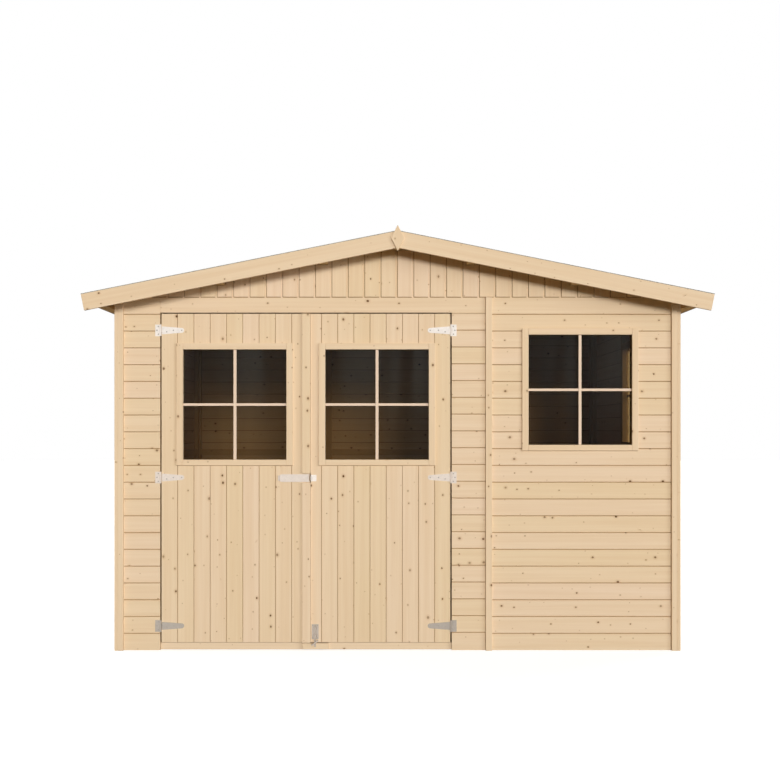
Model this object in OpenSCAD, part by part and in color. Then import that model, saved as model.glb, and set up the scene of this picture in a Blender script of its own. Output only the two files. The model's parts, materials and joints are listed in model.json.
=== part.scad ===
// Wooden garden shed with a shallow gable roof and double doors.
// Millimetres, +Z up. The origin is the centre of the footprint at ground
// level, and the doors face -Y.

/* [Overall size] */
// Width over the corner trims
shed_w = 3060; // [2960:10:3700]
// Depth over the corner trims
shed_d = 2060; // [1700:10:3000]
// Height of the walls below the gables
wall_h = 1911; // [1880:1:2300]

/* [Walls] */
// Thickness of the cladding boards
board_t = 16; // [12:0.1:22]
// Thickness of the studs and rails behind the cladding
frame_d = 28; // [22:0.1:45]
// Face width of the studs and rails
frame_w = 43; // [34:1:60]
// Height of the middle rails above the ground
mid_rail_z = 1000; // [700:10:1060]
// Distance of the back wall's panel joints from its centre
back_joint = 500; // [400:5:600]

/* [Trims] */
// Thickness of the corner and joint trims
trim_t = 16; // [10:0.5:22]
// Width of the corner trims on the front and back faces
face_trim_w = 32; // [24:1:60]
// Width of the corner trims on the side faces
side_trim_w = 48; // [35:1:70]
// Width of the trims over the panel joints
joint_trim_w = 35; // [25:1:60]

/* [Doorway and leaves] */
// Width of the plain panel left of the doorway
left_panel_w = 228; // [140:1:260]
// Width of the doorway between its two panels
doorway_w = 1580; // [1560:5:1620]
// Height of the doorway's header above the ground
doorway_h = 1829; // [1820:1:1860]
// Width of the panel between the doorway and the window panel
middle_panel_w = 200; // [120:1:240]
// Gap between a leaf and the panel at its hinges
hinge_gap = 8; // [6:0.5:12]
// Gap between the two leaves
meet_gap = 6; // [5:0.5:10]
// Height of the leaves' bottom edge
leaf_z = 43; // [43:1:60]
// Gap between the leaves and the header
head_gap = 6; // [5:0.5:12]
// Width of the strip that covers the joint of the leaves
strip_w = 40; // [24:1:60]
// Thickness of that strip
strip_t = 14; // [10:0.5:20]
// Face width of the rails and stiles behind the leaves
ledge_w = 55; // [40:1:60]
// Distance of the leaves' rails and stiles from the leaf edge
ledge_inset = 12; // [8:1:16]

/* [Windows] */
// Width of every window opening
window_w = 560; // [440:5:570]
// Height of every window opening
window_h = 596; // [480:1:640]
// Height of the leaf windows' lower edge
leaf_window_z = 1033; // [1010:1:1060]
// Distance from a leaf's hinge edge to its window
leaf_window_inset = 117; // [100:1:120]
// Height of the wall windows' lower edge
wall_window_z = 1113; // [1080:1:1200]
// Distance from the panel joint to the front wall window
wall_window_inset = 215; // [140:1:240]
// Distance from the front face to the side wall window
side_window_inset = 478; // [200:1:500]
// Width of the casing strips around a window
casing_w = 35; // [25:1:45]
// Thickness of the casing strips
casing_t = 12; // [8:0.5:18]
// Thickness of the panes
glass_t = 4; // [3:0.5:5]

/* [Floor] */
// Height of the floor bearers
bearer_h = 22; // [18:0.5:22]
// Width of the floor bearers
bearer_w = 45; // [30:1:70]
// Number of floor bearers, one of them in the middle
bearer_count = 5; // [3:2:9]
// Thickness of the floor boards
floor_t = 16; // [12:0.5:16]
// Width of the block under the meeting of the leaves
block_w = 142; // [100:1:180]
// Clearance of that block above the ground
block_lift = 4; // [0:0.5:8]

/* [Roof] */
// Slope of the roof in degrees
roof_pitch = 11.3; // [8:0.1:20]
// Height of the gable boards at the corners
gable_foot = 10; // [5:1:60]
// Overhang of the roof beyond the corner trims at the eaves
eave_overhang = 136; // [60:1:200]
// Overhang of the roof beyond the corner trims at the gables
verge_overhang = 144; // [60:1:200]
// Thickness of the roof boards
deck_t = 16; // [12:0.1:22]
// Thickness of the roofing felt
felt_t = 3; // [2:0.5:5]
// Width of the purlins
purlin_w = 45; // [35:1:70]
// Height of the purlins below the roof boards
purlin_h = 56; // [40:1:64]
// Distance of the inner purlins from the ridge
inner_purlin_x = 398; // [300:1:480]
// Distance of the outer purlins from the ridge
outer_purlin_x = 958; // [800:1:1000]
// Width of the fascia boards
fascia_w = 87; // [70:1:130]
// Thickness of the fascia boards
fascia_t = 16; // [12:0.5:22]
// Width of the battens under the eaves
batten_w = 45; // [30:1:70]
// Thickness of the battens under the eaves
batten_t = 22; // [16:0.5:30]
// Width of the diamond over the fascia joint
diamond_w = 70; // [50:1:100]
// Height of that diamond
diamond_h = 138; // [100:1:180]
// Thickness of that diamond
diamond_t = 12; // [8:0.5:18]
// Height of the diamond's lower tip below the ridge
diamond_drop = 112; // [80:1:140]

/* [Ironwork] */
// Thickness of the sheet steel of the hinges, hasp and bolt
steel_t = 2.5; // [2:0.1:3]
// Radius of the hinge knuckles
knuckle_r = 5; // [4:0.1:6]
// Radius of the hinge pins
pin_r = 2.5; // [2:0.1:3]
// Radial clearance of a pin or rod in its bore
pin_clear = 0.06; // [0.03:0.01:0.1]
// Width of the hinge plates on the panels
plate_w = 30; // [24:1:40]
// Height of the hinge plates on the panels
plate_h = 63; // [50:1:80]
// Length of the hinge straps on the leaves
strap_l = 126; // [100:1:250]
// Height of a hinge strap at its knuckle
strap_h = 43; // [30:1:50]
// Height of a hinge strap at its tip
strap_tip_h = 26; // [20:1:30]
// Height of the low hinges above the leaf's bottom edge
low_hinge = 89; // [60:1:200]
// Height of the middle hinges above the leaf's bottom edge
mid_hinge = 893; // [800:1:900]
// Distance of the high hinges below the leaf's top edge
high_hinge = 90; // [60:1:110]
// Height of the hasp's centre line
hasp_z = 933; // [850:1:950]
// Length of the hasp's arm
hasp_l = 170; // [130:1:200]
// Height of the hasp's arm
hasp_h = 41; // [34:1:50]
// Radius of the hasp's knuckles
hasp_knuckle_r = 4.3; // [3.6:0.1:5]
// Reach of the hasp's two padlock lugs
lug_reach = 22; // [18:1:30]
// Radius of the hole in each lug
lug_hole_r = 4.5; // [3.5:0.5:5]
// Radius of the bolt rod
rod_r = 5; // [4:0.1:6]
// Width of the bolt's back plate
bolt_w = 37; // [30:1:50]
// Height of the bolt's back plate
bolt_h = 81; // [70:1:120]
// Travel of the bolt rod
bolt_travel = 24; // [20:1:28]

/* [Hidden] */
$fn = 48;
seam = 0.3;

clad_x = shed_w / 2 - trim_t;
clad_y = shed_d / 2 - trim_t;
in_x = clad_x - board_t;
in_y = clad_y - board_t;
room_x = in_x - frame_d;
room_y = in_y - frame_d;

door_l = -clad_x + left_panel_w;
door_r = door_l + doorway_w;
door_mid = (door_l + door_r) / 2;
joint_x = door_r + middle_panel_w;
sill_h = bearer_h + floor_t;

leaf_l0 = door_l + hinge_gap;
leaf_l1 = door_mid + strip_w / 2;
leaf_r0 = leaf_l1 + meet_gap;
leaf_r1 = door_r - hinge_gap;
leaf_top = doorway_h - head_gap;
left_window_x = leaf_l0 + leaf_window_inset;
right_window_x = leaf_r1 - leaf_window_inset - window_w;

wall_window_x = joint_x + wall_window_inset;
side_window_y = -clad_y + side_window_inset;
glass_set = board_t - glass_t - 2;

face_gap = 0.3;
pin_l = door_l + hinge_gap / 2;
pin_right = door_r - hinge_gap / 2;
pin_y = -clad_y - knuckle_r - face_gap;
hinge_zs = [leaf_z + low_hinge, leaf_z + mid_hinge, leaf_top - high_hinge];
knuckle_gap = 0.5;
strap_knuckle_h = 20;
knuckle_reach = knuckle_r + 1;

hasp_end = leaf_l1 - 1;
hasp_pin_x = hasp_end - hasp_l + hasp_knuckle_r;
hasp_pin_y = -clad_y - hasp_knuckle_r - 1;
hasp_knuckle_h = 14;
hasp_base_h = 28;
hasp_base_w = 38;
hasp_slot = hasp_h / 2 + 5;
lug_h = 22;

guide_r = rod_r + 3;
guide_h = 12;
guide_inset = 14;
rod_y = -clad_y - guide_r - face_gap;
bolt_x = leaf_r0 + 24;
bolt_z = leaf_z + 17;
rod_z = bolt_z - 40;
rod_l = bolt_h + 33;
handle_r = 4;
handle_neck_r = 3.5;
handle_half = 22;
handle_tilt = 38;
handle_clear = 2.5;
handle_z = bolt_z + guide_inset - bolt_travel - handle_neck_r - handle_clear;
handle_y = rod_y - guide_r - handle_r - 1.7;

slope = tan(roof_pitch);
deck_top = felt_t + seam;
deck_under = deck_top + deck_t;
cover_t = deck_under + seam;
roof_x = shed_w / 2 + eave_overhang;
roof_y = shed_d / 2 + verge_overhang;
felt_drop_x = roof_x - felt_t * cos(roof_pitch);
deck_x = felt_drop_x - seam;
deck_y = roof_y - fascia_t;
ridge_z = wall_h + gable_foot + clad_x * slope + cover_t / cos(roof_pitch);
ridge_gap = 0.5;
purlin_xs = [-outer_purlin_x, -inner_purlin_x, 0, inner_purlin_x, outer_purlin_x];

spruce = "burlywood";
spruce_edge = "tan";
zinc = "lightgray";

// ---- Small helpers ----

// A box between two opposite corners.
module block(a, b) {
    translate(a) cube(b - a);
}

// A profile in X and Z, drawn out from y0 to y1.
module along_y(y0, y1) {
    translate([0, y1, 0]) rotate([90, 0, 0]) linear_extrude(y1 - y0) children();
}

// The children and their mirror image across the plane X = 0 or Y = 0.
module both_sides() {
    children();
    mirror([1, 0, 0]) children();
}

module both_ends() {
    children();
    mirror([0, 1, 0]) children();
}

// Height of a surface t below the roof's top, straight down at x.
function under_roof(x, t) = ridge_z - abs(x) * slope - t / cos(roof_pitch);

// A point of the right slope's cross-section: from x on the roof's top,
// square to the slope and t deep.
function roof_point(x, t) =
    [x - t * sin(roof_pitch), ridge_z - x * slope - t * cos(roof_pitch)];

function purlin_foot(x) = under_roof(x, cover_t) - purlin_h;

// ---- Framing ----

// Full height studs at xs, with rails in the bays that start at those studs.
module stud_wall(xs, bays, rail_zs, y0) {
    for (x = xs)
        block([x, y0, 0], [x + frame_w, y0 + frame_d, wall_h]);
    for (bay = bays, z = rail_zs)
        rail(xs[bay] + frame_w, xs[bay + 1], z, y0);
}

module rail(x0, x1, z, y0) {
    block([x0 + seam, y0, z], [x1 - seam, y0 + frame_d, z + frame_w]);
}

// The same wall turned to run along Y, with its outer face towards +X.
module side_stud_wall(ys, bays, rail_zs) {
    rotate([0, 0, 90]) stud_wall(ys, bays, rail_zs, -in_x);
}

// ---- Window parts, in the plane y = face with the outside towards -Y ----

module window_hole(x, z, face) {
    block([x, face - 1, z], [x + window_w, face + board_t + 1, z + window_h]);
}

module casing(x, z, face) {
    out = [casing_w, 0, casing_w];
    for (side = [x - casing_w, x + window_w])
        block([side, face - casing_t, z - casing_w],
              [side + casing_w, face, z + window_h + casing_w]);
    for (edge = [z - casing_w, z + window_h])
        block([x + seam, face - casing_t, edge],
              [x + window_w - seam, face, edge + casing_w]);
}

module pane(x, z, face) {
    block([x + seam, face + glass_set, z + seam],
          [x + window_w - seam, face + glass_set + glass_t, z + window_h - seam]);
}

// ---- Floor ----

module floor_bearers() {
    step = (2 * (room_y - seam) - bearer_w) / (bearer_count - 1);
    middle = (bearer_count - 1) / 2;
    color(spruce_edge)
        for (i = [-middle : middle])
            block([-room_x + seam, i * step - bearer_w / 2, 0],
                  [room_x - seam, i * step + bearer_w / 2, bearer_h]);
}

module floor_deck() {
    color(spruce)
        block([-room_x + seam, -room_y + seam, bearer_h],
              [room_x - seam, room_y - seam, sill_h]);
}

module door_sill() {
    color(spruce_edge)
        block([door_l + seam, -in_y, 0], [door_r - seam, -room_y, sill_h]);
}

module bolt_block() {
    color(spruce)
        block([door_mid - strip_w / 2, -clad_y, block_lift],
              [door_mid - strip_w / 2 + block_w, -in_y, sill_h]);
}

// ---- Front wall ----

module front_left_panel() {
    color(spruce) block([-clad_x, -clad_y, 0], [door_l, -in_y, wall_h]);
}

module front_middle_panel() {
    color(spruce) block([door_r, -clad_y, 0], [joint_x, -in_y, doorway_h]);
}

module front_window_panel() {
    color(spruce)
        difference() {
            block([joint_x, -clad_y, 0], [clad_x, -in_y, wall_h]);
            window_hole(wall_window_x, wall_window_z, -clad_y);
        }
}

module front_header() {
    color(spruce) block([door_l, -clad_y, doorway_h], [joint_x, -in_y, wall_h]);
}

module front_framing() {
    studs = [
        -in_x, door_l - frame_w, door_r, joint_x - frame_w - seam, joint_x,
        wall_window_x - frame_w, wall_window_x + window_w, in_x - frame_w
    ];
    color(spruce_edge) {
        stud_wall(studs, [0, 2, 4, 5, 6], [0, wall_h - frame_w], -in_y);
        for (z = [wall_window_z - frame_w, wall_window_z + window_h])
            rail(wall_window_x, wall_window_x + window_w, z, -in_y);
        block([door_l + seam, -in_y, doorway_h], [door_r - seam, -room_y, wall_h]);
    }
}

// ---- Back and side walls ----

module back_wall() {
    color(spruce) block([-clad_x, in_y, 0], [clad_x, clad_y, wall_h]);
}

module back_framing() {
    studs = [-in_x, -back_joint - frame_w / 2, back_joint - frame_w / 2, in_x - frame_w];
    color(spruce_edge)
        stud_wall(studs, [0, 1, 2], [0, mid_rail_z, wall_h - frame_w], room_y);
}

// Cladding of a side wall, cut to the slope of the roof at its top.
module side_cladding() {
    along_y(-in_y, in_y)
        polygon([
            [in_x, 0], [clad_x, 0],
            [clad_x, under_roof(clad_x, cover_t)], [in_x, under_roof(in_x, cover_t)]
        ]);
}

module left_wall() {
    color(spruce) mirror([1, 0, 0]) side_cladding();
}

module left_framing() {
    studs = [-room_y + seam, -frame_w / 2, room_y - frame_w - seam];
    color(spruce_edge)
        mirror([1, 0, 0])
            side_stud_wall(studs, [0, 1], [0, mid_rail_z, wall_h - frame_w]);
}

module right_wall() {
    color(spruce)
        difference() {
            side_cladding();
            rotate([0, 0, 90]) window_hole(side_window_y, wall_window_z, -clad_x);
        }
}

module right_framing() {
    studs = [
        -room_y + seam, side_window_y - frame_w, side_window_y + window_w,
        room_y - frame_w - seam
    ];
    color(spruce_edge) {
        side_stud_wall(studs, [0, 1, 2], [0, wall_h - frame_w]);
        rotate([0, 0, 90]) {
            rail(studs[2] + frame_w, studs[3], mid_rail_z, -in_x);
            for (z = [wall_window_z - frame_w, wall_window_z + window_h])
                rail(side_window_y, side_window_y + window_w, z, -in_x);
        }
    }
}

// ---- Gables and roof ----

// The right half of a gable, notched round the purlins.
module half_gable() {
    along_y(-clad_y, -in_y)
        difference() {
            polygon([
                [ridge_gap, wall_h], [clad_x, wall_h],
                [clad_x, under_roof(clad_x, cover_t)],
                [ridge_gap, under_roof(ridge_gap, cover_t)]
            ]);
            for (x = purlin_xs)
                translate([x - purlin_w / 2 - seam, purlin_foot(x) - seam])
                    square([purlin_w + 2 * seam, 2 * purlin_h]);
        }
}

module front_gable() {
    color(spruce) both_sides() half_gable();
}

module back_gable() {
    color(spruce) mirror([0, 1, 0]) both_sides() half_gable();
}

module purlins() {
    color(spruce_edge)
        along_y(-deck_y, deck_y)
            for (x = purlin_xs) {
                left = x - purlin_w / 2;
                right = x + purlin_w / 2;
                crown = x == 0 ? [[0, under_roof(0, cover_t)]] : [];
                polygon(concat(
                    [[left, purlin_foot(x)], [right, purlin_foot(x)],
                     [right, under_roof(right, cover_t)]],
                    crown,
                    [[left, under_roof(left, cover_t)]]
                ));
            }
}

module roof_deck() {
    color(spruce_edge)
        both_sides()
            along_y(-deck_y, deck_y)
                polygon([
                    [ridge_gap, under_roof(ridge_gap, deck_top)],
                    roof_point(deck_x, deck_top), roof_point(deck_x, deck_under),
                    [ridge_gap, under_roof(ridge_gap, deck_under)]
                ]);
}

module eave_battens() {
    inner_x = deck_x - batten_w * cos(roof_pitch);
    color(spruce_edge)
        both_sides()
            along_y(-deck_y, deck_y)
                polygon([
                    roof_point(inner_x, cover_t), roof_point(deck_x, cover_t),
                    roof_point(deck_x, cover_t + batten_t),
                    roof_point(inner_x, cover_t + batten_t)
                ]);
}

module roof_felt() {
    color("dimgray") {
        both_sides()
            along_y(-roof_y, roof_y)
                polygon([
                    [0, under_roof(0, 0)], roof_point(roof_x, 0),
                    roof_point(roof_x, felt_t), [0, under_roof(0, felt_t)]
                ]);
        both_sides()
            along_y(-deck_y + seam, deck_y - seam)
                polygon([
                    roof_point(felt_drop_x, felt_t / 2), roof_point(roof_x, felt_t / 2),
                    roof_point(roof_x, cover_t + batten_t),
                    roof_point(felt_drop_x, cover_t + batten_t)
                ]);
    }
}

// The right fascia board of the front gable, its outer end cut square.
module fascia_board() {
    bottom = deck_top + fascia_w;
    along_y(-roof_y, -deck_y)
        polygon([
            [ridge_gap, under_roof(ridge_gap, deck_top)],
            roof_point(roof_x, deck_top), roof_point(roof_x, bottom),
            [ridge_gap, under_roof(ridge_gap, bottom)]
        ]);
}

module front_fascia() {
    color(spruce) both_sides() fascia_board();
}

module back_fascia() {
    color(spruce) mirror([0, 1, 0]) both_sides() fascia_board();
}

module gable_diamonds() {
    foot = ridge_z - diamond_drop;
    color(spruce)
        both_ends()
            along_y(-roof_y - diamond_t, -roof_y)
                polygon([
                    [0, foot], [diamond_w / 2, foot + diamond_h / 2],
                    [0, foot + diamond_h], [-diamond_w / 2, foot + diamond_h / 2]
                ]);
}

// ---- Trims, casings and panes ----

module front_joint_trim(x) {
    block([x - joint_trim_w / 2, -clad_y - trim_t, 0],
          [x + joint_trim_w / 2, -clad_y, wall_h]);
}

module face_trims() {
    color(spruce) {
        both_ends() both_sides()
            block([clad_x - face_trim_w, -clad_y - trim_t, 0], [clad_x, -clad_y, wall_h]);
        front_joint_trim(joint_x);
        mirror([0, 1, 0])
            for (x = [-back_joint, back_joint])
                front_joint_trim(x);
    }
}

module side_trims() {
    color(spruce)
        both_ends() both_sides()
            block([clad_x, -clad_y - trim_t, 0],
                  [clad_x + trim_t, -clad_y - trim_t + side_trim_w, wall_h]);
}

module front_window_casing() {
    color(spruce) casing(wall_window_x, wall_window_z, -clad_y);
}

module side_window_casing() {
    color(spruce)
        rotate([0, 0, 90]) casing(side_window_y, wall_window_z, -clad_x);
}

module wall_window_panes() {
    color("lightblue", 0.5) {
        pane(wall_window_x, wall_window_z, -clad_y);
        rotate([0, 0, 90]) pane(side_window_y, wall_window_z, -clad_x);
    }
}

// ---- Tee hinges: pin at the origin, leaf towards +X, wood towards +Y ----

module knuckle(z0, h) {
    translate([0, 0, z0]) cylinder(r = knuckle_r, h = h);
}

// The plate on the panel, with its two knuckles and the pin.
module hinge_plate() {
    back = knuckle_r + face_gap;
    arm_z = strap_knuckle_h / 2 + knuckle_gap;
    arm_h = plate_h / 2 - arm_z;
    block([-plate_w, back - steel_t, -plate_h / 2],
          [-knuckle_reach, back, plate_h / 2]);
    for (z = [arm_z, -plate_h / 2]) {
        block([-knuckle_reach - 1, back - steel_t, z], [0, back, z + arm_h]);
        knuckle(z, arm_h);
    }
    translate([0, 0, -plate_h / 2]) cylinder(r = pin_r, h = plate_h);
}

// The long strap on the leaf, with its bored knuckle and round tip.
module hinge_strap() {
    back = knuckle_r + face_gap;
    tip_r = strap_tip_h / 2;
    difference() {
        union() {
            translate([0, back, 0])
                rotate([90, 0, 0])
                    linear_extrude(steel_t) {
                        polygon([
                            [knuckle_reach, -strap_h / 2],
                            [strap_l - tip_r, -tip_r],
                            [strap_l - tip_r, tip_r],
                            [knuckle_reach, strap_h / 2]
                        ]);
                        translate([strap_l - tip_r, 0]) circle(r = tip_r);
                    }
            block([0, back - steel_t, -strap_knuckle_h / 2],
                  [knuckle_reach + 1, back, strap_knuckle_h / 2]);
            knuckle(-strap_knuckle_h / 2, strap_knuckle_h);
        }
        translate([0, 0, -strap_knuckle_h])
            cylinder(r = pin_r + pin_clear, h = 2 * strap_knuckle_h);
    }
}

module at_left_hinges() {
    for (z = hinge_zs)
        translate([pin_l, pin_y, z]) children();
}

module at_right_hinges() {
    for (z = hinge_zs)
        translate([pin_right, pin_y, z]) mirror([1, 0, 0]) children();
}

module hinge_plates() {
    color(zinc) {
        at_left_hinges() hinge_plate();
        at_right_hinges() hinge_plate();
    }
}

// ---- Leaves ----

module leaf(x0, x1, window_x) {
    difference() {
        block([x0, -clad_y, leaf_z], [x1, -in_y, leaf_top]);
        window_hole(window_x, leaf_window_z, -clad_y);
    }
}

// Stiles, rails and a brace behind a leaf; foot_x is the brace's low end.
module ledges(x0, x1, foot_x) {
    left = x0 + ledge_inset;
    right = x1 - ledge_inset;
    low = leaf_z + ledge_inset;
    high = leaf_top - ledge_inset;
    under_window = leaf_window_z - ledge_w;
    rail_zs = [low, under_window, leaf_window_z + window_h, high - ledge_w];
    for (x = [left, right - ledge_w])
        block([x, -in_y, low], [x + ledge_w, -room_y, high]);
    for (z = rail_zs)
        block([left + ledge_w + seam, -in_y, z],
              [right - ledge_w - seam, -room_y, z + ledge_w]);
    brace_x = [left + ledge_w + seam, right - ledge_w - seam];
    foot = foot_x == x0 ? 0 : 1;
    foot_z = low + ledge_w + seam;
    head_z = under_window - seam - ledge_w;
    along_y(-in_y, -room_y)
        polygon([
            [brace_x[foot], foot_z], [brace_x[foot], foot_z + ledge_w],
            [brace_x[1 - foot], head_z + ledge_w], [brace_x[1 - foot], head_z]
        ]);
}

module left_door_leaf() {
    color(spruce) leaf(leaf_l0, leaf_l1, left_window_x);
}

module left_door_ledges() {
    color(spruce_edge) ledges(leaf_l0, leaf_l1, leaf_l0);
}

module left_door_casing() {
    color(spruce) casing(left_window_x, leaf_window_z, -clad_y);
}

module left_door_pane() {
    color("lightblue", 0.5) pane(left_window_x, leaf_window_z, -clad_y);
}

module left_door_straps() {
    color(zinc) at_left_hinges() hinge_strap();
}

// The strip over the joint, cut where the hasp crosses it.
module meeting_strip() {
    color(spruce)
        for (span = [[leaf_z, hasp_z - hasp_slot], [hasp_z + hasp_slot, leaf_top]])
            block([leaf_l1 - strip_w, -clad_y - strip_t, span[0]],
                  [leaf_l1, -clad_y, span[1]]);
}

module right_door_leaf() {
    color(spruce) leaf(leaf_r0, leaf_r1, right_window_x);
}

module right_door_ledges() {
    color(spruce_edge) ledges(leaf_r0, leaf_r1, leaf_r1);
}

module right_door_casing() {
    color(spruce) casing(right_window_x, leaf_window_z, -clad_y);
}

module right_door_pane() {
    color("lightblue", 0.5) pane(right_window_x, leaf_window_z, -clad_y);
}

module right_door_straps() {
    color(zinc) at_right_hinges() hinge_strap();
}

// ---- Hasp ----

// Fixed plate on the left leaf, with two knuckles and the pin.
module hasp_base() {
    knuckle_z = hasp_knuckle_h / 2 + knuckle_gap;
    knuckle_h = hasp_base_h / 2 - knuckle_z;
    plate_x = hasp_knuckle_r + 1;
    back = -clad_y - hasp_pin_y;
    color(zinc)
        translate([hasp_pin_x, hasp_pin_y, hasp_z]) {
            block([plate_x, back - steel_t, -hasp_base_h / 2],
                  [hasp_base_w, back, hasp_base_h / 2]);
            for (z = [knuckle_z, -hasp_base_h / 2]) {
                block([0, back - steel_t, z], [plate_x + 1, back, z + knuckle_h]);
                translate([0, 0, z]) cylinder(r = hasp_knuckle_r, h = knuckle_h);
            }
            translate([0, 0, -hasp_base_h / 2])
                cylinder(r = pin_r * 0.8, h = hasp_base_h);
        }
}

// A padlock lug that stands out from a plate, bored along X.
module lug(x, y) {
    difference() {
        block([x, y - lug_reach, hasp_z - lug_h / 2], [x + steel_t, y, hasp_z + lug_h / 2]);
        translate([x - 1, y - lug_reach + 3 + lug_hole_r, hasp_z])
            rotate([0, 90, 0]) cylinder(r = lug_hole_r, h = steel_t + 2);
    }
}

// Swinging arm with a bored knuckle at its left end and a lug at its right.
module hasp_arm() {
    arm_x = hasp_pin_x + hasp_knuckle_r + 1.5;
    arm_y = hasp_pin_y - steel_t / 2;
    round_r = 8;
    color(zinc)
        difference() {
            union() {
                translate([0, arm_y + steel_t, hasp_z])
                    rotate([90, 0, 0])
                        linear_extrude(steel_t)
                            difference() {
                                translate([arm_x, -hasp_h / 2])
                                    square([hasp_end - arm_x, hasp_h]);
                                for (side = [-1, 1])
                                    corner_cut(arm_x, side * hasp_h / 2, round_r, side);
                            }
                block([hasp_pin_x, arm_y, hasp_z - hasp_knuckle_h / 2],
                      [arm_x + 1, arm_y + steel_t, hasp_z + hasp_knuckle_h / 2]);
                translate([hasp_pin_x, hasp_pin_y, hasp_z - hasp_knuckle_h / 2])
                    cylinder(r = hasp_knuckle_r, h = hasp_knuckle_h);
                lug(hasp_end - steel_t, arm_y + steel_t / 2);
            }
            translate([hasp_pin_x, hasp_pin_y, hasp_z - hasp_knuckle_h])
                cylinder(r = pin_r * 0.8 + pin_clear, h = 2 * hasp_knuckle_h);
        }
}

// What is cut away to round the corner at (x, z); side is 1 above, -1 below.
module corner_cut(x, z, r, side) {
    difference() {
        translate([x - 1, side > 0 ? z - r : z - 1]) square([r + 1, r + 1]);
        translate([x + r, z - side * r]) circle(r = r);
    }
}

// Plate with a matching lug on the right leaf.
module staple_plate() {
    plate_x = leaf_r0 + 1;
    color(zinc) {
        block([plate_x, -clad_y - steel_t, hasp_z - hasp_h / 2 + 3],
              [plate_x + 30, -clad_y, hasp_z + hasp_h / 2 - 3]);
        lug(plate_x, -clad_y - steel_t / 2);
    }
}

// ---- Bolt on the right leaf ----

module bolt_case() {
    color(zinc)
        difference() {
            union() {
                block([bolt_x - bolt_w / 2, -clad_y - 2, bolt_z],
                      [bolt_x + bolt_w / 2, -clad_y, bolt_z + bolt_h]);
                for (z = [guide_inset, bolt_h - guide_inset - guide_h])
                    translate([bolt_x, rod_y, bolt_z + z]) {
                        cylinder(r = guide_r, h = guide_h);
                        translate([-guide_r, 0, 0]) cube([2 * guide_r, guide_r, guide_h]);
                    }
            }
            translate([bolt_x, rod_y, bolt_z - 1])
                cylinder(r = rod_r + pin_clear, h = bolt_h + 2);
        }
}

// Round rod with a slanting handle on a short neck.
module bolt_rod() {
    color(zinc) {
        translate([bolt_x, rod_y, rod_z]) cylinder(r = rod_r, h = rod_l);
        translate([bolt_x, rod_y, handle_z])
            rotate([90, 0, 0]) cylinder(r = handle_neck_r, h = rod_y - handle_y);
        translate([bolt_x, handle_y, handle_z])
            rotate([0, 90 - handle_tilt, 0])
                translate([0, 0, -handle_half]) cylinder(r = handle_r, h = 2 * handle_half);
    }
}

floor_bearers();
floor_deck();
door_sill();
bolt_block();
front_left_panel();
front_middle_panel();
front_window_panel();
front_header();
front_framing();
back_wall();
back_framing();
left_wall();
left_framing();
right_wall();
right_framing();
front_gable();
back_gable();
purlins();
roof_deck();
eave_battens();
roof_felt();
front_fascia();
back_fascia();
gable_diamonds();
face_trims();
side_trims();
front_window_casing();
side_window_casing();
wall_window_panes();
hinge_plates();
left_door_leaf();
left_door_ledges();
left_door_casing();
left_door_pane();
left_door_straps();
meeting_strip();
hasp_base();
hasp_arm();
right_door_leaf();
right_door_ledges();
right_door_casing();
right_door_pane();
right_door_straps();
staple_plate();
bolt_case();
bolt_rod();
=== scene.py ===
"""Looks for a boarded garden shed: boards, casings, bars, felt and ironwork round its frame."""

import functools
import json
import math
import random

import bmesh
import bpy
from mathutils import Matrix, Vector


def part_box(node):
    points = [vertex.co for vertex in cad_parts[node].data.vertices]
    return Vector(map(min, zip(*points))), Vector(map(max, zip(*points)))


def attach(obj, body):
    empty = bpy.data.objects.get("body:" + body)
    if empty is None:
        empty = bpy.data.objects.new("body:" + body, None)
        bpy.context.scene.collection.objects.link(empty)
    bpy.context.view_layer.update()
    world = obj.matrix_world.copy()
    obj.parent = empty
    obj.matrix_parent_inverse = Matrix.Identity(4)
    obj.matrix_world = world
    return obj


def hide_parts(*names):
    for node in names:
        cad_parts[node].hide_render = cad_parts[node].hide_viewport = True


bl_info = {
    "name": "Garden Shed Dresser", "version": (1, 0, 0), "blender": (4, 5, 0),
    "location": "View3D > Sidebar > Shed",
    "description": "Boards, glazes, roofs and lights a wooden garden shed", "category": "Object",
}

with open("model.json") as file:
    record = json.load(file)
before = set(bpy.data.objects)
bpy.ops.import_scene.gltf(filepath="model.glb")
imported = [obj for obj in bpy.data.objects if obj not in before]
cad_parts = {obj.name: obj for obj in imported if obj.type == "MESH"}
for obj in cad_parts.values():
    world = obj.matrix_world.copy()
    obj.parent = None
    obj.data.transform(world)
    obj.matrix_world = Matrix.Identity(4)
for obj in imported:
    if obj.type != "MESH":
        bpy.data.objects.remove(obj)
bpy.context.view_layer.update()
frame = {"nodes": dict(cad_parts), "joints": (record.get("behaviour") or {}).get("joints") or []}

IN_FRONT, TO_RIGHT, UP = Vector((0, -1, 0)), Vector((1, 0, 0)), Vector((0, 0, 1))
BEHIND, TO_LEFT = -IN_FRONT, -TO_RIGHT
MM = 0.001
# What pieces that don't touch keep between them, as the frame does.
SEAM = 0.3 * MM
# Where the panels of the back wall meet, behind its inner studs.
BACK_JOINTS = (-0.5, 0.5)
# Sockets of the colour kind of Mix node.
COLOUR_A, COLOUR_B, COLOUR_OUT = 6, 7, 2


def linear(hex_colour):
    """An sRGB hex colour such as "#E1C6A3" as linear red, green, blue and alpha."""
    parts = [int(hex_colour[i : i + 2], 16) / 255 for i in (1, 3, 5)]
    return (*(c / 12.92 if c <= 0.04045 else ((c + 0.055) / 1.055) ** 2.4 for c in parts), 1.0)


def length_of(name, description, millimetres):
    """A length property with its default in millimetres."""
    return bpy.props.FloatProperty(
        name=name, description=description, default=millimetres * MM, min=0.0, unit="LENGTH",
        subtype="DISTANCE", precision=4,
    )


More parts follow.
